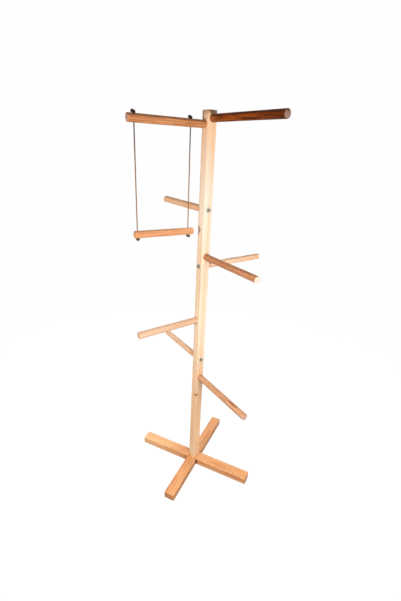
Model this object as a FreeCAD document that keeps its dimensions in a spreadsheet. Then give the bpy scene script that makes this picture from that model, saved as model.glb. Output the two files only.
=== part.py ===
import FreeCAD, Part
import math
import os

import Sketcher
from FreeCAD import Rotation, Vector

# A parrot play stand. A square softwood post stands on two crossed foot beams,
# halved into each other and held by one coach screw from below. Seven round
# perches and the beam of a swing are each drawn against a face of the post by
# a coach screw that comes through from the opposite face. The swing's perch
# hangs from its beam on two knotted cords.
#
# +X is right, -Y is front and +Z is up. The origin is on the floor, on the
# post's axis. All sizes are in millimetres and degrees.

SIZES = {
    # post
    "post_side": 40,
    "post_length": 1752,
    "post_ease": 2,
    # foot: two beams, the cross beam halved over the long one
    "foot_beam_width": 54,
    "foot_beam_height": 40,
    "foot_beam_ease": 3,
    "long_foot_beam_length": 646,
    "cross_foot_beam_length": 620,
    "cross_foot_beam_shift": 22,
    "halving_play": 0.15,
    "foot_turn": 30,
    # hexagon-headed coach screws and their washers
    "screw_shank": 8,
    "screw_head_across": 13,
    "screw_head_height": 5.5,
    "screw_head_bevel": 0.6,
    "screw_tip_length": 7,
    "screw_tip_diameter": 2,
    "screw_play": 0.25,
    "thread_play": 0.05,
    "pilot_spare": 2,
    "perch_screw_bite": 31,
    "foot_screw_bite": 58,
    "washer_outer": 24,
    "washer_thickness": 2,
    "washer_recess_depth": 9,
    "washer_recess_play": 1,
    # perches from the top down: each spacing is from the axis above it, the
    # first one from the post's top
    "perch_end_ease": 2,
    "top_right_perch_spacing": 28,
    "top_right_perch_length": 372,
    "top_right_perch_diameter": 28.5,
    "swing_beam_spacing": 21,
    "swing_beam_diameter": 29,
    "upper_left_perch_spacing": 316,
    "upper_left_perch_length": 309,
    "upper_left_perch_diameter": 29,
    "middle_right_perch_spacing": 199,
    "middle_right_perch_length": 326,
    "middle_right_perch_diameter": 28,
    "middle_rear_perch_spacing": 46,
    "middle_rear_perch_length": 313,
    "middle_rear_perch_diameter": 28,
    "lower_front_perch_spacing": 266,
    "lower_front_perch_length": 301,
    "lower_front_perch_diameter": 31,
    "lower_left_perch_spacing": 219,
    "lower_left_perch_length": 294,
    "lower_left_perch_diameter": 28,
    "bottom_right_perch_spacing": 103,
    "bottom_right_perch_length": 347,
    "bottom_right_perch_diameter": 30,
    # swing: reaches run from the post's face, drops from the beam's underside
    # to the middle of the swing perch
    "cord_diameter": 4.5,
    "cord_hole_play": 1,
    "inner_cord_reach": 65,
    "cord_spacing": 226,
    "outer_cord_inset": 25,
    "outer_cord_drop": 377,
    "inner_cord_extra_drop": 7,
    "swing_pivot_drop": 1.5,
    "swing_pivot_gap": 0.3,
    "swing_perch_diameter": 28,
    "swing_perch_inner_overhang": 23,
    "swing_perch_outer_overhang": 10.9,
    "knot_width": 19,
    "knot_height": 16,
    "knot_flat": 8,
    "knot_play": 0.15,
}

# the perches from the top down, and the post's face that each stands on
PERCHES = {
    "top_right_perch": "right",
    "swing_beam": "front",
    "upper_left_perch": "left",
    "middle_right_perch": "right",
    "middle_rear_perch": "rear",
    "lower_front_perch": "front",
    "lower_left_perch": "left",
    "bottom_right_perch": "right",
}

# outward direction of each face of the post, and the sketch plane that the
# holes from face to face are drawn on
FACES = {
    "right": (Vector(1, 0, 0), "YZ_Plane"),
    "left": (Vector(-1, 0, 0), "YZ_Plane"),
    "front": (Vector(0, -1, 0), "XZ_Plane"),
    "rear": (Vector(0, 1, 0), "XZ_Plane"),
}
UP = Vector(0, 0, 1)

# lengths worked out from the sheet
POST_HALF = "(Sizes.post_side / 2)"
HALVING_LEFT = "(-Sizes.foot_beam_width / 2 - Sizes.halving_play)"
HALVING_RIGHT = "(Sizes.foot_beam_width / 2 + Sizes.halving_play)"
HALVING_LEVEL = "(Sizes.foot_beam_height / 2)"
SCREW_HOLE = "(Sizes.screw_shank + 2 * Sizes.screw_play)"
PILOT_HOLE = "(Sizes.screw_shank + 2 * Sizes.thread_play)"
PILOT_SPARE = "(Sizes.screw_tip_length + Sizes.pilot_spare)"
WASHER_RECESS = "(Sizes.washer_outer + 2 * Sizes.washer_recess_play)"
PERCH_SCREW_LENGTH = "(Sizes.washer_thickness + Sizes.post_side + Sizes.perch_screw_bite)"
FOOT_SCREW_SEAT = "(Sizes.washer_recess_depth - Sizes.washer_thickness)"
FOOT_SCREW_LENGTH = f"(Sizes.foot_beam_height - {FOOT_SCREW_SEAT} + Sizes.foot_screw_bite)"
CORD_HOLE = "(Sizes.cord_diameter + 2 * Sizes.cord_hole_play)"
OUTER_CORD_REACH = "(Sizes.inner_cord_reach + Sizes.cord_spacing)"
INNER_CORD_DROP = "(Sizes.outer_cord_drop + Sizes.inner_cord_extra_drop)"
SWING_TILT = "atan(Sizes.inner_cord_extra_drop / Sizes.cord_spacing)"
SWING_HOLE_SPACING = f"(Sizes.cord_spacing / cos({SWING_TILT}))"
SWING_PERCH_HALF = f"(Sizes.swing_perch_diameter / 2 / cos({SWING_TILT}))"
BEAM_TOP = "(Sizes.swing_beam_height + Sizes.swing_beam_diameter / 2)"
BEAM_UNDERSIDE = "(Sizes.swing_beam_height - Sizes.swing_beam_diameter / 2)"
PIVOT_HEIGHT = f"({BEAM_UNDERSIDE} - Sizes.swing_pivot_drop)"

# reach and drop of each cord of the swing
CORDS = {
    "outer": (OUTER_CORD_REACH, "Sizes.outer_cord_drop"),
    "inner": ("Sizes.inner_cord_reach", INNER_CORD_DROP),
}

doc = FreeCAD.newDocument("play_stand")
nodes = []


def make_sheet():
    """Write the sheet: the driving sizes, then the perches' heights from them."""
    sheet = doc.addObject("Spreadsheet::Sheet", "Sizes")
    rows = dict(SIZES)
    above = "foot_beam_height + post_length"
    for name in PERCHES:
        rows[name + "_height"] = f"={above} - {name}_spacing"
        above = name + "_height"
    rows["swing_beam_length"] = "=inner_cord_reach + cord_spacing + outer_cord_inset"
    for row, (alias, content) in enumerate(rows.items(), start=1):
        sheet.set(f"A{row}", alias)
        sheet.set(f"B{row}", str(content))
        sheet.setAlias(f"B{row}", alias)
    doc.recompute()
    return sheet


sizes = make_sheet()


def value(formula):
    """The number that a formula on the sheet gives."""
    return float(sizes.evalExpression(formula))


def bind(item, **formulas):
    """Tie properties of an object to formulas on the sheet; __ stands for a dot."""
    for path, formula in formulas.items():
        item.setExpression(path.replace("__", "."), formula)


def new_body(name):
    body = doc.addObject("PartDesign::Body", name)
    body.Label = name
    return body


def new_sketch(body, role, name):
    """A sketch on one of the body's own origin planes."""
    sketch = body.newObject("Sketcher::SketchObject", name)
    plane = next(item for item in body.Origin.OriginFeatures if item.Role == role)
    sketch.AttachmentSupport = [(plane, "")]
    sketch.MapMode = "FlatFace"
    return sketch


def hold(sketch, kind, refs, name, formula):
    """Add a named dimension to a sketch and tie it to a formula."""
    index = sketch.addConstraint(Sketcher.Constraint(kind, *refs, value(formula)))
    sketch.renameConstraint(index, name)
    sketch.setExpression(f"Constraints.{name}", formula)


def place_point(sketch, geometry, point, across, along):
    """Hold a point of a sketch at two formulas, or on an axis where one is 0."""
    if across == "0" and along == "0":
        sketch.addConstraint(Sketcher.Constraint("Coincident", geometry, point, -1, 1))
        return
    tag = f"point_{geometry}_{point}"
    if across == "0":
        sketch.addConstraint(Sketcher.Constraint("PointOnObject", geometry, point, -2))
    else:
        hold(sketch, "DistanceX", (-1, 1, geometry, point), tag + "_across", across)
    if along == "0":
        sketch.addConstraint(Sketcher.Constraint("PointOnObject", geometry, point, -1))
    else:
        hold(sketch, "DistanceY", (-1, 1, geometry, point), tag + "_along", along)


def draw_circle(sketch, diameter, across="0", along="0"):
    centre = Vector(value(across), value(along), 0)
    circle = sketch.addGeometry(Part.Circle(centre, Vector(0, 0, 1), value(diameter) / 2), False)
    hold(sketch, "Diameter", (circle,), f"circle_{circle}", diameter)
    place_point(sketch, circle, 3, across, along)


def draw_outline(sketch, corners):
    """A closed run of straight lines through corners given as pairs of formulas."""
    points = [Vector(value(across), value(along), 0) for across, along in corners]
    ends = points[1:] + points[:1]
    lines = []
    for start, end in zip(points, ends):
        lines.append(sketch.addGeometry(Part.LineSegment(start, end), False))
    for line, following in zip(lines, lines[1:] + lines[:1]):
        sketch.addConstraint(Sketcher.Constraint("Coincident", line, 2, following, 1))
    for line, (across, along) in zip(lines, corners):
        place_point(sketch, line, 1, across, along)


def pad(body, sketch, name, length, both_ways=False):
    feature = body.newObject("PartDesign::Pad", name)
    feature.Profile = sketch
    if both_ways:
        feature.SideType = "Symmetric"
    bind(feature, Length=length)
    return feature


def cut_through(body, sketch, name):
    """Cut a sketch's outline right through the body, both ways from its plane."""
    feature = body.newObject("PartDesign::Pocket", name)
    feature.Profile = sketch
    feature.Type = "ThroughAll"
    feature.SideType = "Symmetric"
    return feature


def cut_upward(body, sketch, name, depth):
    """Cut a sketch on the XY plane into the solid that stands on it."""
    feature = body.newObject("PartDesign::Pocket", name)
    feature.Profile = sketch
    feature.Reversed = True
    bind(feature, Length=depth)
    return feature


def ease(body, feature, name, wanted, radius):
    """Round the edges of a feature that the test picks by their middle point."""
    doc.recompute()
    edges = []
    for number, edge in enumerate(feature.Shape.Edges, start=1):
        if wanted(edge):
            edges.append(f"Edge{number}")
    rounded = body.newObject("PartDesign::Fillet", name)
    rounded.Base = (feature, edges)
    bind(rounded, Radius=radius)
    return rounded


def close(first, second):
    return abs(first - second) < 1e-4


def on_box_edge(edge, box):
    """True for a straight edge that lies along an edge of the bounding box."""
    middle = edge.CenterOfMass
    touches = [
        close(middle.x, box.XMin) or close(middle.x, box.XMax),
        close(middle.y, box.YMin) or close(middle.y, box.YMax),
        close(middle.z, box.ZMin) or close(middle.z, box.ZMax),
    ]
    return sum(touches) == 2


def outward_turn(direction):
    """The rotation that takes local Z to a level direction and local Y to up."""
    return Rotation(UP.cross(direction), UP, direction, "ZYX")


def put_on_face(item, face, height, reach):
    """Place an object on a face of the post, its local Z pointing outward."""
    direction, _ = FACES[face]
    item.Placement.Rotation = outward_turn(direction)
    if direction.x:
        bind(item, Placement__Base__x=f"{direction.x:.0f} * {reach}")
    else:
        bind(item, Placement__Base__y=f"{direction.y:.0f} * {reach}")
    bind(item, Placement__Base__z=height)


def make_post():
    """The square post, with a clearance hole for the screw of every perch."""
    body = new_body("post")
    square = new_sketch(body, "XY_Plane", "post_section")
    low = f"(-{POST_HALF})"
    draw_outline(square, [(low, low), (POST_HALF, low), (POST_HALF, POST_HALF), (low, POST_HALF)])
    bar = pad(body, square, "post_bar", "Sizes.post_length")
    doc.recompute()
    box = bar.Shape.BoundBox
    ease(body, bar, "post_edges",
         lambda edge: on_box_edge(edge, box) and not close(edge.CenterOfMass.z, box.ZMin),
         "Sizes.post_ease")
    for role in ("YZ_Plane", "XZ_Plane"):
        holes = new_sketch(body, role, "post_holes_" + role[:2])
        for name, face in PERCHES.items():
            if FACES[face][1] == role:
                height = f"(Sizes.{name}_height - Sizes.foot_beam_height)"
                draw_circle(holes, SCREW_HOLE, "0", height)
        cut_through(body, holes, "post_bores_" + role[:2])
    pilot = new_sketch(body, "XY_Plane", "post_pilot")
    draw_circle(pilot, PILOT_HOLE)
    cut_upward(body, pilot, "post_pilot_bore", f"Sizes.foot_screw_bite + {PILOT_SPARE}")
    bind(body, Placement__Base__z="Sizes.foot_beam_height")
    nodes.append(body)


def make_foot_beam(name, corners, turn):
    """A foot beam: its side view with the halving notch, padded to its width."""
    body = new_body(name)
    side = new_sketch(body, "XZ_Plane", name + "_side")
    draw_outline(side, corners)
    bar = pad(body, side, name + "_bar", "Sizes.foot_beam_width", both_ways=True)
    doc.recompute()
    box = bar.Shape.BoundBox
    ease(body, bar, name + "_edges", lambda edge: on_box_edge(edge, box), "Sizes.foot_beam_ease")
    bore = new_sketch(body, "XY_Plane", name + "_bore")
    draw_circle(bore, SCREW_HOLE)
    cut_through(body, bore, name + "_screw_hole")
    bind(body, Placement__Rotation__Angle=turn)
    nodes.append(body)
    return body


def make_foot():
    """Two crossed beams: the long one notched on top, the cross one below."""
    long_half = "(Sizes.long_foot_beam_length / 2)"
    top = "Sizes.foot_beam_height"
    lower = make_foot_beam("long_foot_beam", [
        (f"(-{long_half})", "0"),
        (long_half, "0"),
        (long_half, top),
        (HALVING_RIGHT, top),
        (HALVING_RIGHT, HALVING_LEVEL),
        (HALVING_LEFT, HALVING_LEVEL),
        (HALVING_LEFT, top),
        (f"(-{long_half})", top),
    ], "Sizes.foot_turn")
    recess = new_sketch(lower, "XY_Plane", "washer_recess")
    draw_circle(recess, WASHER_RECESS)
    cut_upward(lower, recess, "washer_recess_cut", "Sizes.washer_recess_depth")
    cross_front = "(Sizes.cross_foot_beam_shift - Sizes.cross_foot_beam_length / 2)"
    cross_rear = "(Sizes.cross_foot_beam_shift + Sizes.cross_foot_beam_length / 2)"
    make_foot_beam("cross_foot_beam", [
        (cross_front, "0"),
        (HALVING_LEFT, "0"),
        (HALVING_LEFT, HALVING_LEVEL),
        (HALVING_RIGHT, HALVING_LEVEL),
        (HALVING_RIGHT, "0"),
        (cross_rear, "0"),
        (cross_rear, top),
        (cross_front, top),
    ], "Sizes.foot_turn + 90")


def make_screw(name, length):
    """A coach screw along Z: the underside of its hexagon head is at Z = 0."""
    body = new_body(name)
    head = body.newObject("PartDesign::AdditivePrism", name + "_head")
    head.Polygon = 6
    corner_radius = "(Sizes.screw_head_across / 2 / cos(30))"
    bind(head, Circumradius=corner_radius, Height="Sizes.screw_head_height",
         Placement__Base__z="-Sizes.screw_head_height")
    shank = body.newObject("PartDesign::AdditiveCylinder", name + "_shank")
    bind(shank, Radius="Sizes.screw_shank / 2", Height=length)
    tip = body.newObject("PartDesign::AdditiveCone", name + "_tip")
    bind(tip, Radius1="Sizes.screw_shank / 2", Radius2="Sizes.screw_tip_diameter / 2",
         Height="Sizes.screw_tip_length", Placement__Base__z=length)
    # the bevel that takes the corners off the head's outer face
    bevel = new_sketch(body, "XZ_Plane", name + "_bevel")
    outer_face = "(-Sizes.screw_head_height)"
    beyond = f"({corner_radius} + Sizes.screw_head_bevel)"
    inner = f"({corner_radius} - 2 * Sizes.screw_head_bevel)"
    draw_outline(bevel, [
        (inner, outer_face),
        (beyond, outer_face),
        (beyond, f"({outer_face} + 1.5 * Sizes.screw_head_bevel)"),
    ])
    groove = body.newObject("PartDesign::Groove", name + "_bevel_cut")
    groove.Profile = bevel
    groove.ReferenceAxis = (bevel, ["V_Axis"])
    groove.Angle = 360
    return body


def make_washer(name):
    """A flat washer standing on Z = 0."""
    body = new_body(name)
    ring = new_sketch(body, "XY_Plane", name + "_ring")
    draw_circle(ring, "Sizes.washer_outer")
    draw_circle(ring, SCREW_HOLE)
    pad(body, ring, name + "_plate", "Sizes.washer_thickness")
    return body


def make_set(name, master):
    """One copy of a fastener for every perch, on the face opposite the perch."""
    copies = []
    for perch, face in PERCHES.items():
        copy = doc.addObject("App::Link", f"{name}_{perch}")
        copy.LinkedObject = master
        reach = f"(-{POST_HALF} - Sizes.washer_thickness)"
        put_on_face(copy, face, f"Sizes.{perch}_height", reach)
        copies.append(copy)
    group = doc.addObject("Part::Compound", name)
    group.Label = name
    group.Links = copies
    nodes.append(group)


def make_fasteners():
    """The perch screws and washers, and the one screw that holds the foot."""
    make_set("perch_screws", make_screw("perch_screw_master", PERCH_SCREW_LENGTH))
    make_set("perch_washers", make_washer("perch_washer_master"))
    foot_screw = make_screw("foot_screw", FOOT_SCREW_LENGTH)
    bind(foot_screw, Placement__Base__z=FOOT_SCREW_SEAT)
    foot_washer = make_washer("foot_washer")
    bind(foot_washer, Placement__Base__z=FOOT_SCREW_SEAT)
    nodes.extend([foot_screw, foot_washer])


def make_rod(name, length, diameter, start=None):
    """A round rod along local Z, with a sketch plane set back where it starts."""
    body = new_body(name)
    section = new_sketch(body, "XY_Plane", name + "_section")
    draw_circle(section, diameter)
    if start:
        bind(section, AttachmentOffset__Base__z=start)
    rod = pad(body, section, name + "_rod", length)
    doc.recompute()
    return body, rod


def bore_for_cords(body, name, reaches):
    """Bore a hole for each cord straight down through a rod."""
    holes = new_sketch(body, "XZ_Plane", name + "_cord_holes")
    for reach in reaches:
        draw_circle(holes, CORD_HOLE, "0", reach)
    cut_through(body, holes, name + "_cord_bores")


def make_perch(name, face):
    """A perch: a rod with a rounded free end and a pilot bore for its screw."""
    length = f"Sizes.{name}_length"
    body, rod = make_rod(name, length, f"Sizes.{name}_diameter")
    tip = rod.Shape.BoundBox.ZMax
    ease(body, rod, name + "_end",
         lambda edge: close(edge.BoundBox.ZMin, tip),
         "Sizes.perch_end_ease")
    pilot = new_sketch(body, "XY_Plane", name + "_pilot")
    draw_circle(pilot, PILOT_HOLE)
    cut_upward(body, pilot, name + "_pilot_bore", f"Sizes.perch_screw_bite + {PILOT_SPARE}")
    if name == "swing_beam":
        bore_for_cords(body, name, [reach for reach, _ in CORDS.values()])
    put_on_face(body, face, f"Sizes.{name}_height", POST_HALF)
    nodes.append(body)


def make_swing_perch():
    """The hanging perch: its local origin is on the inner cord, Z runs outward."""
    name = "swing_perch"
    start = "-Sizes.swing_perch_inner_overhang"
    length = (f"Sizes.swing_perch_inner_overhang + {SWING_HOLE_SPACING}"
              " + Sizes.swing_perch_outer_overhang")
    body, rod = make_rod(name, length, "Sizes.swing_perch_diameter", start)
    box = rod.Shape.BoundBox
    ease(body, rod, name + "_ends",
         lambda edge: close(edge.BoundBox.ZMin, edge.BoundBox.ZMax)
         and (close(edge.BoundBox.ZMin, box.ZMin) or close(edge.BoundBox.ZMin, box.ZMax)),
         "Sizes.perch_end_ease")
    bore_for_cords(body, name, ["0", SWING_HOLE_SPACING])
    body.Placement.Rotation = Rotation(Vector(1, 0, 0), 90)
    bind(body, Placement__Rotation__Angle=f"90 deg - {SWING_TILT}",
         Placement__Base__y=f"-({POST_HALF} + Sizes.inner_cord_reach)",
         Placement__Base__z=f"{BEAM_UNDERSIDE} - {INNER_CORD_DROP}")
    nodes.append(body)


def make_cord(side, reach, drop):
    """The hanging stretch of a cord, from the swing's pivot to its lower knot.

    Its top is a ball about the pivot, so that it turns without moving out of place.
    """
    name = side + "_swing_cord"
    body = new_body(name)
    length = f"({drop} - Sizes.swing_pivot_drop + {SWING_PERCH_HALF} + Sizes.knot_play)"
    run = body.newObject("PartDesign::AdditiveCylinder", name + "_run")
    bind(run, Radius="Sizes.cord_diameter / 2", Height=length,
         Placement__Base__z=f"-{length}")
    ball = body.newObject("PartDesign::AdditiveSphere", name + "_top")
    bind(ball, Radius="Sizes.cord_diameter / 2")
    bind(body, Placement__Base__y=f"-({POST_HALF} + {reach})", Placement__Base__z=PIVOT_HEIGHT)
    nodes.append(body)


def draw_barrel(sketch, width, height, flat):
    """Half of a barrel beside the upright axis: flat ends and one arc between."""
    bulge = f"(({width} - {flat}) / 2)"
    radius = f"(({bulge} ^ 2 + ({height} / 2) ^ 2) / (2 * {bulge}))"
    half_turn = value(f"asin({height} / 2 / {radius})") * math.pi / 180
    middle = Vector(value(f"{width} / 2 - {radius}"), 0, 0)
    circle = Part.Circle(middle, Vector(0, 0, 1), value(radius))
    arc = sketch.addGeometry(Part.ArcOfCircle(circle, -half_turn, half_turn), False)
    corners = [Vector(value(f"{flat} / 2"), value(f"{height} / 2"), 0),
               Vector(0, value(f"{height} / 2"), 0),
               Vector(0, value(f"-{height} / 2"), 0),
               Vector(value(f"{flat} / 2"), value(f"-{height} / 2"), 0)]
    lines = []
    for start, end in zip(corners, corners[1:]):
        lines.append(sketch.addGeometry(Part.LineSegment(start, end), False))
    for first, following in zip([arc] + lines, lines + [arc]):
        sketch.addConstraint(Sketcher.Constraint("Coincident", first, 2, following, 1))
    sketch.addConstraint(Sketcher.Constraint("PointOnObject", arc, 3, -1))
    hold(sketch, "Radius", (arc,), "barrel_radius", radius)
    place_point(sketch, arc, 2, f"{flat} / 2", f"{height} / 2")
    place_point(sketch, lines[1], 1, "0", f"{height} / 2")
    place_point(sketch, lines[1], 2, "0", f"-{height} / 2")


def make_knot(name, reach, centre, neck_length=None):
    """A knot as a barrel, with the cord that leaves it downward where it has one."""
    body = new_body(name)
    profile = new_sketch(body, "XZ_Plane", name + "_profile")
    draw_barrel(profile, "Sizes.knot_width", "Sizes.knot_height", "Sizes.knot_flat")
    bulk = body.newObject("PartDesign::Revolution", name + "_bulk")
    bulk.Profile = profile
    bulk.ReferenceAxis = (profile, ["V_Axis"])
    bulk.Angle = 360
    if neck_length:
        neck = body.newObject("PartDesign::AdditiveCylinder", name + "_neck")
        bind(neck, Radius="Sizes.cord_diameter / 2", Height=neck_length,
             Placement__Base__z=f"-{neck_length}")
    bind(body, Placement__Base__y=f"-({POST_HALF} + {reach})", Placement__Base__z=centre)
    nodes.append(body)


def make_swing():
    """The swing: two cords, each knotted above its beam and below its perch."""
    make_swing_perch()
    for side, (reach, drop) in CORDS.items():
        make_cord(side, reach, drop)
        top_knot = f"({BEAM_TOP} + Sizes.knot_play + Sizes.knot_height / 2)"
        stub_end = f"({PIVOT_HEIGHT} + Sizes.cord_diameter / 2 + Sizes.swing_pivot_gap)"
        make_knot(side + "_top_knot", reach, top_knot, f"({top_knot} - {stub_end})")
        make_knot(side + "_bottom_knot", reach,
                  f"{BEAM_UNDERSIDE} - {drop} - {SWING_PERCH_HALF}"
                  f" - Sizes.knot_play - Sizes.knot_height / 2")


def check_document():
    """Stop where any object failed or a piece has no valid shape."""
    for item in doc.Objects:
        if "Invalid" in item.State or "Error" in item.State:
            raise RuntimeError(f"{item.Label} did not compute")
    for node in nodes:
        if node.Shape.isNull() or not node.Shape.isValid():
            raise RuntimeError(f"{node.Label} has no valid shape")


def write_parts():
    os.makedirs("parts", exist_ok=True)
    for node in nodes:
        node.Shape.exportStep(f"parts/{node.Label}.step")


make_post()
make_foot()
for perch_name, perch_face in PERCHES.items():
    make_perch(perch_name, perch_face)
make_fasteners()
make_swing()
doc.recompute()
check_document()
write_parts()
for node in nodes:
    print(f"{node.Label}: {len(node.Shape.Solids)} solid(s), {node.Shape.Volume:.0f} mm3")
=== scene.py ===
import bpy
import numpy as np
from mathutils import Euler, Matrix, Vector


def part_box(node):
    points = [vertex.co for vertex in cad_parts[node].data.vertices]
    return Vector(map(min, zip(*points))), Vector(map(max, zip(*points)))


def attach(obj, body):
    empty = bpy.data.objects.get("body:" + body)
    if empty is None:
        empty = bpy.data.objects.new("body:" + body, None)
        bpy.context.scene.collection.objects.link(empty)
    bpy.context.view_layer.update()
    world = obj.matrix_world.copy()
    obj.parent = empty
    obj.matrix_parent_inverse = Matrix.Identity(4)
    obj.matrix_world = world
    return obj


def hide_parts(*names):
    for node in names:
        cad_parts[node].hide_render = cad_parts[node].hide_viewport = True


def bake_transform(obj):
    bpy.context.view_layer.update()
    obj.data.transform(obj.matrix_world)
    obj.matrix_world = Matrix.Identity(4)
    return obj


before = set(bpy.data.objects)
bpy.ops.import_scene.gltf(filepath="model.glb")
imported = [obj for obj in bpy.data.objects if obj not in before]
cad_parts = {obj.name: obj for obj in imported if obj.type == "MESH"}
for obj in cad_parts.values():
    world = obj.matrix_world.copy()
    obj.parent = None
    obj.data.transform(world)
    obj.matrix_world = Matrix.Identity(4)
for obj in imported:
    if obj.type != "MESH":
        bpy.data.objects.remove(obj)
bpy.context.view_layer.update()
MM = 0.001


# The foot: two planed hardwood bars, halved into each other so that their
# tops are level, with rounded edges and an oiled, orange-tan surface. The
# post stands on the crossing and one screw from below holds the three.
# Shadow in the inner corners of the crossing, shade down the sides and light
# on the left end of the long bar are painted into the wood's colour.

class Socket:
    """An output of a shader node: + - and * on it add Math nodes."""

    def __init__(self, finish, output):
        self.finish = finish
        self.output = output

    def math(self, operation, first, second):
        return self.finish.node("Math", {0: first, 1: second}, operation=operation)

    def __add__(self, other):
        return self.math("ADD", self, other)

    __radd__ = __add__

    def __sub__(self, other):
        return self.math("SUBTRACT", self, other)

    def __rsub__(self, other):
        return self.math("SUBTRACT", other, self)

    def __mul__(self, other):
        return self.math("MULTIPLY", self, other)

    __rmul__ = __mul__


class Finish:
    """A material in the making. Its node method adds any node, with its settings and sockets."""

    def __init__(self, name):
        self.material = bpy.data.materials.new(name)
        self.material.use_nodes = True
        self.nodes = self.material.node_tree.nodes
        self.links = self.material.node_tree.links
        self.nodes.clear()

    def node(self, kind, sockets, output=0, **settings):
        node = self.nodes.new("ShaderNode" + kind)
        for name, setting in settings.items():
            setattr(node, name, setting)
        for name, content in sockets.items():
            if isinstance(content, Socket):
                self.links.new(content.output, node.inputs[name])
            else:
                node.inputs[name].default_value = content
        return Socket(self, node.outputs[output]) if output is not None else None

    def step(self, content, low, high):
        """0 below low and 1 above high, with a smooth rise between."""
        return self.node("MapRange", {"Value": content, "From Min": low, "From Max": high},
                         interpolation_type="SMOOTHSTEP")

    def mix(self, share, first, second):
        """A colour that goes from the first to the second as the share goes 0 to 1."""
        return self.node("Mix", {0: share, 6: first, 7: second}, output=2, data_type="RGBA")

    def noise(self, place, scale, detail=2.0, roughness=0.5):
        """Noise with that many waves to a unit of the place."""
        return self.node("TexNoise", {"Vector": place, "Scale": scale, "Detail": detail,
                                      "Roughness": roughness})

    def stretched(self, place, share, shift=(0.0, 0.0, 0.0)):
        """The place with its third coordinate shrunk, which draws a pattern out along it."""
        return self.node("Mapping", {"Vector": place, "Scale": (1.0, 1.0, share), "Location": shift})

    def surface(self, sockets):
        """The finished material, with what its Principled node's sockets are given."""
        shader = self.node("BsdfPrincipled", sockets)
        self.node("OutputMaterial", {"Surface": shader}, output=None)
        return self.material


def colour(red, green, blue):
    """Screen values from 0 to 255 as the linear colour that a socket takes."""
    screen = np.array([red, green, blue]) / 255
    linear = np.where(screen <= 0.04045, screen / 12.92, ((screen + 0.055) / 1.055) ** 2.4)
    return (*linear.tolist(), 1.0)


def wood(name, centre, turn, pith, ring_width, pale, dark, cut_pale, cut_dark,
         ring=0.5, fibre=0.35, patch=0.3, streak=0.0, streak_dark=None, tinges=(), spots=(),
         heart=0.0, roughness=0.5, shine=0.15):
    """Wood whose grain runs along local Z of a frame at centre, turned by turn.

    Growth rings are a sine of the distance to a wandering pith, fibres, patches
    and streaks are noise drawn out along the grain, and a face whose normal
    lies along the grain is a cut end, with the rings on it. Each tinge is a
    colour that comes in between two distances along a direction, its edge made
    ragged by the streaks, and each spot is one that fades out from a middle
    within its reach along X, Y and Z. The heart is how dark the pith's round
    spot shows on a cut end. Noise scales are in waves per metre.
    """
    wander_scale, fibre_scale, patch_scale, mark_scale = 30.0, 1100.0, 26.0, 170.0
    stray = 14 * MM
    ragged = 0.6
    heart_dark, heart_inside, heart_outside = colour(52, 30, 20), 1.8 * MM, 3.4 * MM
    finish = Finish(name)
    place = finish.node("TexCoord", {}, output="Object")
    local = finish.node("Mapping", {"Vector": place, "Location": centre, "Rotation": turn},
                        vector_type="TEXTURE")
    grained = finish.node("Mapping", {"Vector": place, "Rotation": turn}, vector_type="TEXTURE")
    along = finish.stretched(grained, 0.05)
    wander = finish.node("TexNoise", {"Vector": along, "Scale": wander_scale, "Detail": 3.0},
                         output="Color")
    bent = finish.node("VectorMath", {0: wander, 1: (stray, stray, 0.0), 2: local},
                       operation="MULTIPLY_ADD")
    from_pith = finish.stretched(bent, 0.012, shift=(-pith[0], -pith[1], 0.0))
    distance = finish.node("VectorMath", {0: from_pith}, output="Value", operation="LENGTH")
    rings = finish.node("Math", {0: distance * (2 * np.pi / ring_width)},
                        operation="SINE") * 0.5 + 0.5
    late_wood = rings * rings
    fine = finish.step(finish.noise(along, fibre_scale, 3.0, 0.7), 0.32, 0.72)
    patches = finish.step(finish.noise(finish.stretched(grained, 0.3), patch_scale, 3.0), 0.38, 0.68)
    marks = finish.noise(finish.stretched(grained, 0.07), mark_scale, 4.0, 0.62)
    side = finish.mix(late_wood * ring + fine * fibre + patches * patch, pale, dark)
    if streak:
        side = finish.mix(finish.step(marks, 0.48, 0.6) * streak, side, streak_dark)
    grain = Euler(turn).to_matrix() @ Vector((0, 0, 1))
    facing = finish.node("VectorMath", {0: finish.node("TexCoord", {}, output="Normal"),
                                        1: grain}, output="Value", operation="DOT_PRODUCT")
    cut = finish.step(facing * facing, 0.45, 0.9)
    end_face = finish.mix(rings * 0.4 + patches * 0.3, cut_pale, cut_dark)
    if heart:
        off_centre = finish.node("VectorMath", {0: finish.stretched(local, 0.0)}, output="Value",
                                 operation="LENGTH")
        end_face = finish.mix(heart - finish.step(off_centre, heart_inside, heart_outside) * heart,
                              end_face, heart_dark)
    base = finish.mix(cut, side, end_face)
    for direction, near, far, share, tint in tinges:
        fringe = ragged * (far - near)
        reach = finish.node("VectorMath", {0: place, 1: direction}, output="Value",
                            operation="DOT_PRODUCT") + marks * fringe
        base = finish.mix(finish.step(reach, near + fringe / 2, far + fringe / 2) * share, base, tint)
    for middle, reach, share, tint in spots:
        away = finish.node("VectorMath", {0: finish.node("Mapping", {
            "Vector": place, "Location": middle, "Scale": reach}, vector_type="TEXTURE")},
            output="Value", operation="LENGTH")
        base = finish.mix(share - finish.step(away, 0.35, 1.0) * share, base, tint)
    relief = finish.node("Bump", {"Height": fine * 0.6 + late_wood * 0.4, "Strength": 0.35,
                                  "Distance": 0.25 * MM})
    return finish.surface({"Base Color": base, "Roughness": fine * 0.12 + roughness,
                           "Specular IOR Level": shine, "Normal": relief})


def dress(node, material):
    """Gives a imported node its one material."""
    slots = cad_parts[node].data.materials
    slots.clear()
    slots.append(material)


FOOT_TURN = 30
FOOT_WIDTH = 54 * MM
FOOT_HEIGHT = 40 * MM
SHADOW_RISE = 18 * MM


def inner_corner(quarter):
    """The middle of the upright corner between two beams, a number of quarter turns on."""
    angle = np.radians(FOOT_TURN - 45 - 90 * quarter)
    reach = FOOT_WIDTH / np.sqrt(2)
    return reach * np.cos(angle), reach * np.sin(angle), SHADOW_RISE


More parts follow.
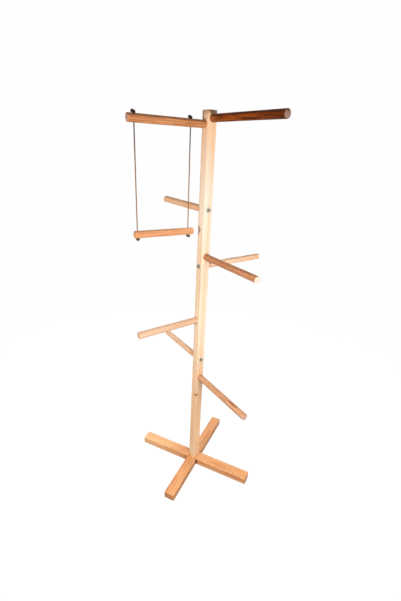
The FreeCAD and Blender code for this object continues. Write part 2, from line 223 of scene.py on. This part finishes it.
joint_shadow = colour(70, 34, 14)
foot_wood = {
    "pale": colour(218, 163, 113), "dark": colour(185, 118, 72),
    "cut_pale": colour(196, 133, 86), "cut_dark": colour(153, 95, 56),
    "ring": 0.35, "fibre": 0.45, "patch": 0.4,
    "spots": [(inner_corner(0), (9 * MM, 9 * MM, 30 * MM), 0.95, joint_shadow),
              (inner_corner(1), (8 * MM, 8 * MM, 30 * MM), 0.4, joint_shadow)],
}
# painted shade: the sides of the bars darker than their lit tops
painted_side_shade = ((0, 0, -1), 1 * MM - FOOT_HEIGHT, 12 * MM - FOOT_HEIGHT, 0.2, colour(150, 88, 46))
# painted light: the left end of the long bar paler
painted_light_left_end = ((-1, 0, 0), 20 * MM, 200 * MM, 0.35, colour(255, 210, 156))
for beam, turn, pith, tinges in (
        ("long_foot_beam", FOOT_TURN, (30 * MM, 55 * MM), [painted_light_left_end, painted_side_shade]),
        ("cross_foot_beam", FOOT_TURN + 90, (-45 * MM, 40 * MM), [painted_side_shade])):
    low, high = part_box(beam)
    dress(beam, wood(beam + "_wood", (low + high) / 2, (0, np.radians(90), np.radians(turn)),
                     pith, 11 * MM, tinges=tinges, **foot_wood))


# The post: one square bar of pale, clear pine with eased edges. Its grain is
# straight and it is left unstained: tanner towards the foot, and darker in a
# band at the top. Painted into its colour are the shadows of the top perches,
# shade on the right face about the bottom right perch, a highlight high on the
# front right edge and light from the floor at its foot. A small knot shows on
# its front right edge, low down.

KNOT_HEIGHT = 485 * MM
post_low, post_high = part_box("post")
front_right = (post_high.x, post_low.y)
front_left = (post_low.x, post_low.y)
post_tinges = [
    ((0, 0, -1), -0.92, -0.4, 0.55, colour(222, 168, 116)),
    ((0, 0, 1), 1.35, 1.75, 0.5, colour(214, 162, 116)),
    # darker in a band at the top
    ((0, 0, 1), post_high.z - 26 * MM, post_high.z - 2 * MM, 0.6, colour(120, 88, 52)),
]
post_spots_and_painted_light = [
    # painted shadows of the swing beam and the top right perch, above their roots
    ((*front_left, post_high.z - 14 * MM), (16 * MM, 10 * MM, 26 * MM), 0.6, colour(84, 52, 24)),
    ((post_high.x, post_low.y + 14 * MM, post_high.z - 4 * MM), (10 * MM, 18 * MM, 12 * MM), 0.7,
     colour(78, 44, 20)),
    # the knot, and the pale wood under it
    ((*front_right, KNOT_HEIGHT), (18 * MM, 18 * MM, 9 * MM), 1.0, colour(60, 32, 8)),
    ((*front_right, KNOT_HEIGHT - 16 * MM), (13 * MM, 13 * MM, 8 * MM), 0.35,
     colour(236, 196, 140)),
    # painted light and shade along the bar, and one patch of tanner wood
    # a painted highlight, pale and grey, high on the front right edge
    ((*front_right, 1.48), (50 * MM, 50 * MM, 250 * MM), 0.2, colour(225, 225, 226)),
    # painted shade on the right face, around and under the bottom right perch
    ((post_high.x, 0.0, 0.5), (12 * MM, 50 * MM, 320 * MM), 0.25, colour(180, 136, 84)),
    # tanner wood on the front face
    ((0.0, post_low.y, 1.15), (30 * MM, 8 * MM, 250 * MM), 0.3, colour(200, 164, 112)),
    # painted light thrown up from the floor, at the foot of the front face
    ((0.0, post_low.y, 0.04), (50 * MM, 20 * MM, 140 * MM), 0.3, colour(250, 230, 192)),
]
dress("post", wood("post_pine", (0.0, 0.0, 0.0), (0, 0, 0), (-75 * MM, 60 * MM), 14 * MM,
                   colour(233, 207, 180), colour(216, 177, 139), colour(195, 156, 114),
                   colour(142, 104, 66), ring=0.5, fibre=0.25, patch=0.2,
                   tinges=post_tinges, spots=post_spots_and_painted_light))


# The seven perches and the swing beam: straight round branches, each sanded and
# screwed on by its end. Every one is of another wood, so each has its own colour.
# Painted shade darkens the upper side of every one, and the underside of the
# bottom right perch.

TURNS = {  # the turn that lays local Z along each outward direction
    "right": (0, np.radians(90), 0),
    "left": (0, np.radians(-90), 0),
    "front": (np.radians(90), 0, 0),
    "rear": (np.radians(-90), 0, 0),
}
RING_WIDTH = 3.4 * MM
PITH_OFFSET = 2.2 * MM
top_low, top_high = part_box("top_right_perch")
bottom_low, bottom_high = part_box("bottom_right_perch")
beam_low, beam_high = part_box("swing_beam")
pale_cut = {"cut_pale": colour(221, 199, 181), "cut_dark": colour(194, 157, 130)}
pink_cut = {"cut_pale": colour(201, 165, 148), "cut_dark": colour(155, 110, 94)}
tan_cut = {"cut_pale": colour(198, 162, 136), "cut_dark": colour(176, 136, 110)}
peach_cut = {"cut_pale": colour(201, 152, 118), "cut_dark": colour(166, 114, 82)}
# the brown of the painted shade on the perches' upper sides
painted_shade_brown = colour(110, 84, 58)
crack = (284 * MM, -4 * MM, bottom_high.z - 1 * MM)
perches = {  # each one's face of the post, how much painted shade darkens its upper side, and its looks
    "top_right_perch": ("right", 0.0, {
        "cut_pale": colour(226, 190, 174), "cut_dark": colour(184, 138, 120),
        "pale": colour(168, 82, 26), "dark": colour(90, 34, 4), "streak": 0.95,
        "streak_dark": colour(38, 11, 1), "shine": 0.04, "tinges": [
            ((-1, 0, 0), -top_low.x - 60 * MM, -top_low.x, 0.5, colour(176, 108, 62)),
            # painted shade along the upper side
            ((0, 0, 1), top_low.z + 14 * MM, top_high.z - 2 * MM, 0.8, colour(42, 14, 3)),
            ((1, 0, 0), top_high.x - 240 * MM, top_high.x - 40 * MM, 0.65, colour(46, 15, 3))]}),
    "swing_beam": ("front", 0.0, pink_cut | {
        "pale": colour(199, 138, 90), "dark": colour(154, 93, 53), "streak": 0.3,
        "streak_dark": colour(103, 52, 24), "heart": 0.95, "tinges": [
            ((0, -1, 0), 200 * MM, 330 * MM, 0.3, colour(140, 70, 32)),
            # painted shade along the upper side
            ((0, 0, 1), beam_low.z + 17 * MM, beam_high.z - 4 * MM, 0.75, colour(92, 46, 18))]}),
    "upper_left_perch": ("left", 0.6, peach_cut | {
        "pale": colour(228, 178, 139), "dark": colour(201, 148, 107)}),
    "middle_right_perch": ("right", 0.3, pale_cut | {
        "pale": colour(198, 136, 96), "dark": colour(150, 92, 56), "streak": 0.3,
        "streak_dark": colour(107, 56, 32)}),
    "middle_rear_perch": ("rear", 0.4, peach_cut | {
        "pale": colour(232, 194, 164), "dark": colour(216, 167, 130)}),
    "lower_front_perch": ("front", 0.2, tan_cut | {
        "pale": colour(215, 178, 150), "dark": colour(199, 152, 119)}),
    "lower_left_perch": ("left", 0.15, peach_cut | {
        "pale": colour(231, 191, 158), "dark": colour(205, 156, 118)}),
    "bottom_right_perch": ("right", 0.12, pink_cut | {
        "pale": colour(207, 157, 119), "dark": colour(176, 121, 82), "streak": 0.3,
        "streak_dark": colour(103, 54, 26),
        "spots": [(crack, (50 * MM, 5 * MM, 7 * MM), 0.9, colour(112, 48, 22))],
        "tinges": [
            # painted shade along the underside
            ((0, 0, -1), -bottom_low.z - 10 * MM, -bottom_low.z, 0.5, colour(104, 56, 28))]}),
}
for number, (perch, (face, shading, looks)) in enumerate(perches.items()):
    low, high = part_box(perch)
    # painted shade darkens the upper side of each perch
    if shading:
        looks["tinges"] = looks.get("tinges", []) + [
            ((0, 0, 1), 0.35 * low.z + 0.65 * high.z, high.z - 1 * MM, shading, painted_shade_brown)]
    pith = (PITH_OFFSET * np.sin(number), PITH_OFFSET * np.cos(2 * number))
    dress(perch, wood(perch + "_wood", (low + high) / 2, TURNS[face], pith, RING_WIDTH, **looks))


# The fasteners: coach screws with dull dark hexagon heads on flat zinc-plated
# washers, one through the post for every perch and one under the foot.

def steel(name, dark, pale):
    """Metal clouded by noise, rougher where it is paler."""
    finish = Finish(name)
    place = finish.node("TexCoord", {}, output="Object")
    cloud = finish.noise(place, 300.0, 3.0)
    return finish.surface({"Base Color": finish.mix(cloud, dark, pale),
                           "Roughness": cloud * 0.2 + 0.3, "Metallic": 1.0})


dull_steel = steel("dull_steel", colour(116, 106, 88), colour(158, 148, 126))
zinc_plate = steel("zinc_plate", colour(190, 186, 176), colour(222, 218, 208))
for fastener, metal in (("perch_screws", dull_steel), ("foot_screw", dull_steel),
                        ("perch_washers", zinc_plate), ("foot_washer", zinc_plate)):
    dress(fastener, metal)


# The swing's perch: a short round branch of orange wood with rounded ends,
# bored across near both ends and hung on the two cords. Painted shade darkens
# its upper side.

hang_low, hang_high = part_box("swing_perch")
cord_boxes = {side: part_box(side + "_swing_cord") for side in ("outer", "inner")}
hang_spacing = cord_boxes["inner"][0].y - cord_boxes["outer"][0].y
hang_fall = cord_boxes["outer"][0].z - cord_boxes["inner"][0].z
hang_tilt = np.arctan(hang_fall / hang_spacing)
dress("swing_perch", wood(
    "orange_wood", (hang_low + hang_high) / 2, (np.radians(90) - hang_tilt, 0, 0),
    (1.5 * MM, -2 * MM), 3.2 * MM, colour(217, 161, 118), colour(188, 120, 75),
    colour(202, 149, 110), colour(164, 107, 71), patch=0.4, tinges=[
        # painted shade along the upper side
        ((0, 0, 1), hang_high.z - 12 * MM, hang_high.z - 1 * MM, 0.5, colour(140, 78, 40))]))


# The swing's cords: three-strand twisted jute, tied in a double overhand knot on
# top of the beam and under the perch. The perch's weight draws them straight.

CORD_RADIUS = 2.25 * MM
KNOT_CORD_RADIUS = 2.55 * MM
LAY_LENGTH = 15 * MM
STRANDS = 3
ROPE_SIDES = 30
CENTIMETRE = 10 * MM


def along_spline(points, fineness):
    """The points of the smooth NURBS spline that the given points steer."""
    curve = bpy.data.curves.new("route", "CURVE")
    curve.dimensions = "3D"
    spline = curve.splines.new("NURBS")
    spline.points.add(len(points) - 1)
    spline.points.foreach_set("co", np.column_stack([points, np.ones(len(points))]).ravel())
    spline.order_u = 3
    spline.use_endpoint_u = True
    curve.resolution_u = spline.resolution_u = fineness
    holder = bpy.data.objects.new("route", curve)
    mesh = bpy.data.meshes.new_from_object(holder)
    route = np.empty(len(mesh.vertices) * 3)
    mesh.vertices.foreach_get("co", route)
    bpy.data.meshes.remove(mesh)
    bpy.data.objects.remove(holder)
    bpy.data.curves.remove(curve)
    return route.reshape(-1, 3)


def rope(name, path, radius, middle, material):
    """A three-strand rope along the path: at angle a and length s its radius is the given
    one times 0.7 + 0.3 |cos(1.5 (a - 2 pi s / lay))|, so three ridges wind round, and it
    tapers as a quarter circle at its ends. Angles start from the direction away from the
    middle, less its part along the path."""
    run = np.concatenate([[0], np.cumsum(np.linalg.norm(np.diff(path, axis=0), axis=1))])
    ahead = np.gradient(path, axis=0)
    ahead /= np.linalg.norm(ahead, axis=1)[:, None]
    first = path - np.array(middle)
    first -= ahead * np.sum(first * ahead, axis=1)[:, None]
    first /= np.linalg.norm(first, axis=1)[:, None]
    second = np.cross(ahead, first)
    angle = np.linspace(0, 2 * np.pi, ROPE_SIDES, endpoint=False)[None, :]
    ridge = STRANDS / 2 * (angle - 2 * np.pi * run[:, None] / LAY_LENGTH)
    close = np.clip(np.minimum(run, run[-1] - run)[:, None] / radius, 0, 1)
    taper = np.sqrt(np.clip(1 - (1 - close) ** 2, 0.16, 1))
    reach = radius * (0.7 + 0.3 * np.abs(np.cos(ridge))) * taper
    ring = (path[:, None, :] + reach[..., None] * (np.cos(angle)[..., None] * first[:, None, :]
            + np.sin(angle)[..., None] * second[:, None, :]))
    rows = len(path)
    index = np.arange(rows * ROPE_SIDES).reshape(rows, ROPE_SIDES)
    beside = np.roll(index, -1, axis=1)
    walls = np.stack([index[:-1], beside[:-1], beside[1:], index[1:]], axis=-1).reshape(-1, 4)
    first_tip = np.full(ROPE_SIDES, rows * ROPE_SIDES)
    caps = [np.column_stack([first_tip, beside[0], index[0]]),
            np.column_stack([first_tip + 1, index[-1], beside[-1]])]
    mesh = bpy.data.meshes.new(name)
    vertices = np.vstack([ring.reshape(-1, 3), path[0], path[-1]])
    mesh.from_pydata(vertices.tolist(), [], walls.tolist() + np.vstack(caps).tolist())
    layer = mesh.uv_layers.new(name="strands")
    corners = np.empty(len(mesh.loops), int)
    mesh.loops.foreach_get("vertex_index", corners)
    row = np.minimum(corners // ROPE_SIDES, rows - 1)
    turns = (corners % ROPE_SIDES) / ROPE_SIDES - run[row] / LAY_LENGTH
    layer.data.foreach_set("uv", np.column_stack([turns, run[row] / CENTIMETRE]).ravel())
    mesh.shade_smooth()
    mesh.materials.append(material)
    piece = bpy.data.objects.new(name, mesh)
    bpy.context.collection.objects.link(piece)
    return piece


def jute(name, pale, dark, start_colour):
    """Brown twisted jute: darker between the strands, a painted shade by a cosine of the
    turns round the cord, with fibres along each strand, and darker where its run starts."""
    finish = Finish(name)
    strand = finish.node("UVMap", {}, uv_map="strands")
    place = finish.node("TexCoord", {}, output="Object")
    turns = finish.node("SeparateXYZ", {"Vector": strand})
    strand_height = finish.node("Math", {0: turns * (2 * np.pi * STRANDS)},
                                operation="COSINE") * 0.5 + 0.5
    fibres = finish.noise(finish.node("Mapping", {"Vector": strand, "Scale": (60.0, 1.6, 1.0)}),
                          1.0, 3.0, 0.7)
    patches = finish.noise(place, 160.0, 2.0)
    # the fibres and patches, with painted shade between the strands
    tone = (finish.step(fibres, 0.3, 0.7) * 0.5 + finish.step(patches, 0.35, 0.65) * 0.25
            + finish.step(strand_height, 0.0, 0.5) * 0.25)
    shading = finish.mix(tone, dark, pale)
    centimetres = finish.node("SeparateXYZ", {"Vector": strand}, output=1)
    base = finish.mix(finish.step(centimetres, 4.0, 24.0), finish.mix(0.85, shading, start_colour), shading)
    relief = finish.node("Bump", {"Height": fibres, "Strength": 0.6, "Distance": 0.3 * MM})
    return finish.surface({"Base Color": base, "Roughness": 0.9, "Specular IOR Level": 0.1,
                           "Normal": relief})


def double_overhand(foot, way, turn, tail):
    """The run of a double overhand knot in cord diameters, standing on its foot: up beside
    the middle, over the top, down in a turn and a half round an oval, then up again inside
    it as the tail. way is 1 for a knot above its cord and -1 for one below it."""
    wrap_points = 19
    angle = np.linspace(0.05, 1.55, wrap_points) * 2 * np.pi
    wraps = np.column_stack([0.45 + 1.3 * np.cos(angle), 1.06 * np.sin(angle),
                             np.linspace(1.2, 0.3, wrap_points)])
    points = np.vstack([[(0, 0, -0.3), (0, 0, 0.2), (0, 0, 0.7), (0, 0, 1.2), (0.1, -0.05, 1.65),
                         (0.8, -0.1, 1.8), (1.55, -0.1, 1.55)], wraps,
                        [(-0.3, -0.3, 0.3), (0.5, -0.3, 0.4), (0.95, 0.05, 0.8), (0.95, 0.1, 1.3)],
                        tail])
    turned = Matrix.Rotation(turn, 3, "Z") @ Matrix.Diagonal((1, way, way))
    size = 2 * KNOT_CORD_RADIUS
    return along_spline(np.array(foot) + size * points @ np.array(turned).T, 8)


TAILS = {
    ("outer", "top"): [(1.3, 0.1, 1.75), (2.1, 0.2, 1.6)],
    ("inner", "top"): [(0.8, 0.1, 1.9), (0.7, 0.1, 2.25)],
    ("outer", "bottom"): [(1.0, 0.1, 2.1), (1.3, 0.1, 2.4)],
    ("inner", "bottom"): [(1.0, 0.1, 2.0), (1.3, 0.1, 2.2)],
}
cord_jute = jute("cord_jute", colour(160, 108, 60), colour(70, 40, 18), colour(38, 20, 10))
top_jute = jute("top_knot_jute", colour(78, 46, 28), colour(34, 18, 10), colour(34, 18, 10))
bottom_jute = jute("bottom_knot_jute", colour(178, 150, 124), colour(88, 68, 52), colour(62, 46, 34))
for side, knot_turns in (("outer", (-90, 130)), ("inner", (-100, 60))):
    low, high = cord_boxes[side]
    upright = ((low.x + high.x) / 2, (low.y + high.y) / 2)
    knots = {}
    for place, way, body, finish, turn in (("top", 1, "stand", top_jute, knot_turns[0]),
                                           ("bottom", -1, "swing", bottom_jute, knot_turns[1])):
        foot = (*upright, beam_high.z if way == 1 else low.z)
        route = double_overhand(foot, way, np.radians(turn), TAILS[side, place])
        middle = np.array(foot) + (0, 0, way * 2 * KNOT_CORD_RADIUS)
        knots[place] = rope(f"{side}_{place}_knotted_cord", route, KNOT_CORD_RADIUS, middle, finish)
        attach(knots[place], body)
        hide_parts(f"{side}_{place}_knot")
    start = np.array([*upright, beam_high.z - 1 * MM])
    end = np.array([*upright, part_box(side + "_bottom_knot")[1].z - 1 * MM])
    drop = np.array([0, 0, 12 * CORD_RADIUS])
    route = along_spline([start, start - drop, end + drop, end], 200)
    cord = rope(side + "_cord", route, CORD_RADIUS, start + (1, 0, 0), cord_jute)
    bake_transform(cord)
    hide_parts(side + "_swing_cord")


# The room: a plain white floor that runs out of sight, a white surround, two soft
# lights a little lower than the top perches, one on either side of the camera, a
# weak one behind and an even light from above.

FLOOR_REACH = 12.0
FLOOR_GLOW = 0.85
floor_mesh = bpy.data.meshes.new("floor")
floor_mesh.from_pydata([(-FLOOR_REACH, -FLOOR_REACH, 0), (FLOOR_REACH, -FLOOR_REACH, 0),
                        (FLOOR_REACH, FLOOR_REACH, 0), (-FLOOR_REACH, FLOOR_REACH, 0)],
                       [], [(0, 1, 2, 3)])
paper = Finish("floor_paper")
bounced = paper.node("LightPath", {}, output="Is Diffuse Ray")
paper.node("OutputMaterial", {"Surface": paper.node("MixShader", {
    0: FLOOR_GLOW - bounced * FLOOR_GLOW,
    1: paper.node("BsdfDiffuse", {"Color": colour(160, 160, 160)}),
    2: paper.node("Emission", {"Color": colour(255, 255, 255), "Strength": 1.12})})}, output=None)
floor_mesh.materials.append(paper.material)
floor = bpy.data.objects.new("floor", floor_mesh)
bpy.context.collection.objects.link(floor)

room = bpy.data.worlds.new("room")
room.use_nodes = True
air = room.node_tree.nodes["Background"]
air.inputs["Color"].default_value = (1.0, 1.0, 1.0, 1.0)
SEEN_STRENGTH, BOUNCED_STRENGTH = 0.995, 0.2
strength = room.node_tree.nodes.new("ShaderNodeMapRange")
strength.inputs["To Min"].default_value = SEEN_STRENGTH
strength.inputs["To Max"].default_value = BOUNCED_STRENGTH
ray = room.node_tree.nodes.new("ShaderNodeLightPath")
room.node_tree.links.new(ray.outputs["Is Diffuse Ray"], strength.inputs["Value"])
room.node_tree.links.new(strength.outputs["Result"], air.inputs["Strength"])
bpy.context.scene.world = room
bpy.context.scene.view_settings.view_transform = "Standard"


def light(name, kind, place, aim, power, **settings):
    """A lamp at a place, aimed at a point."""
    lamp = bpy.data.lights.new(name, kind)
    lamp.energy = power
    for setting, content in settings.items():
        setattr(lamp, setting, content)
    holder = bpy.data.objects.new(name, lamp)
    holder.location = place
    holder.rotation_euler = (Vector(aim) - Vector(place)).to_track_quat("-Z", "Y").to_euler()
    bpy.context.collection.objects.link(holder)


UPPER_STAND = (0, 0, 1.0)
light("right_light", "AREA", (1.75, -0.25, 1.35), UPPER_STAND, 28, size=0.5)
light("left_light", "AREA", (0.5, -1.65, 1.35), UPPER_STAND, 22, size=0.3)
light("rear_light", "AREA", (-1.5, 1.2, 1.4), UPPER_STAND, 15, size=0.8)
light("top_light", "SUN", (0.3, -0.2, 3.0), (0, 0, 0), 1.7, angle=np.radians(70))


# The camera: at a standing person's eye height, at the front right corner,
# looking down at the stand and held a little askew.

CAMERA_PLACE = (1.2016, -0.8691, 1.6606)
CAMERA_AZIMUTH = np.radians(-35.899)
CAMERA_DOWN = np.radians(24.163)
CAMERA_ROLL = np.radians(2.69)
FOCAL_PIXELS, PRINCIPAL_POINT, PICTURE = 347.01, (201.0, 303.81), (401, 601)
ahead = -Vector((np.cos(CAMERA_DOWN) * np.cos(CAMERA_AZIMUTH),
                 np.cos(CAMERA_DOWN) * np.sin(CAMERA_AZIMUTH), np.sin(CAMERA_DOWN)))
level = ahead.cross(Vector((0, 0, 1))).normalized()
upward = level.cross(ahead)
right = np.cos(CAMERA_ROLL) * level + np.sin(CAMERA_ROLL) * upward
top = np.cos(CAMERA_ROLL) * upward - np.sin(CAMERA_ROLL) * level
lens = bpy.data.cameras.new("camera")
lens.sensor_width = 36
lens.lens = FOCAL_PIXELS / max(PICTURE) * lens.sensor_width
lens.shift_x = (PICTURE[0] / 2 - PRINCIPAL_POINT[0]) / max(PICTURE)
lens.shift_y = (PRINCIPAL_POINT[1] - PICTURE[1] / 2) / max(PICTURE)
camera = bpy.data.objects.new("camera", lens)
turn = Matrix((right, top, -ahead)).transposed()
camera.matrix_world = Matrix.Translation(CAMERA_PLACE) @ turn.to_4x4()
bpy.context.collection.objects.link(camera)
bpy.context.scene.camera = camera
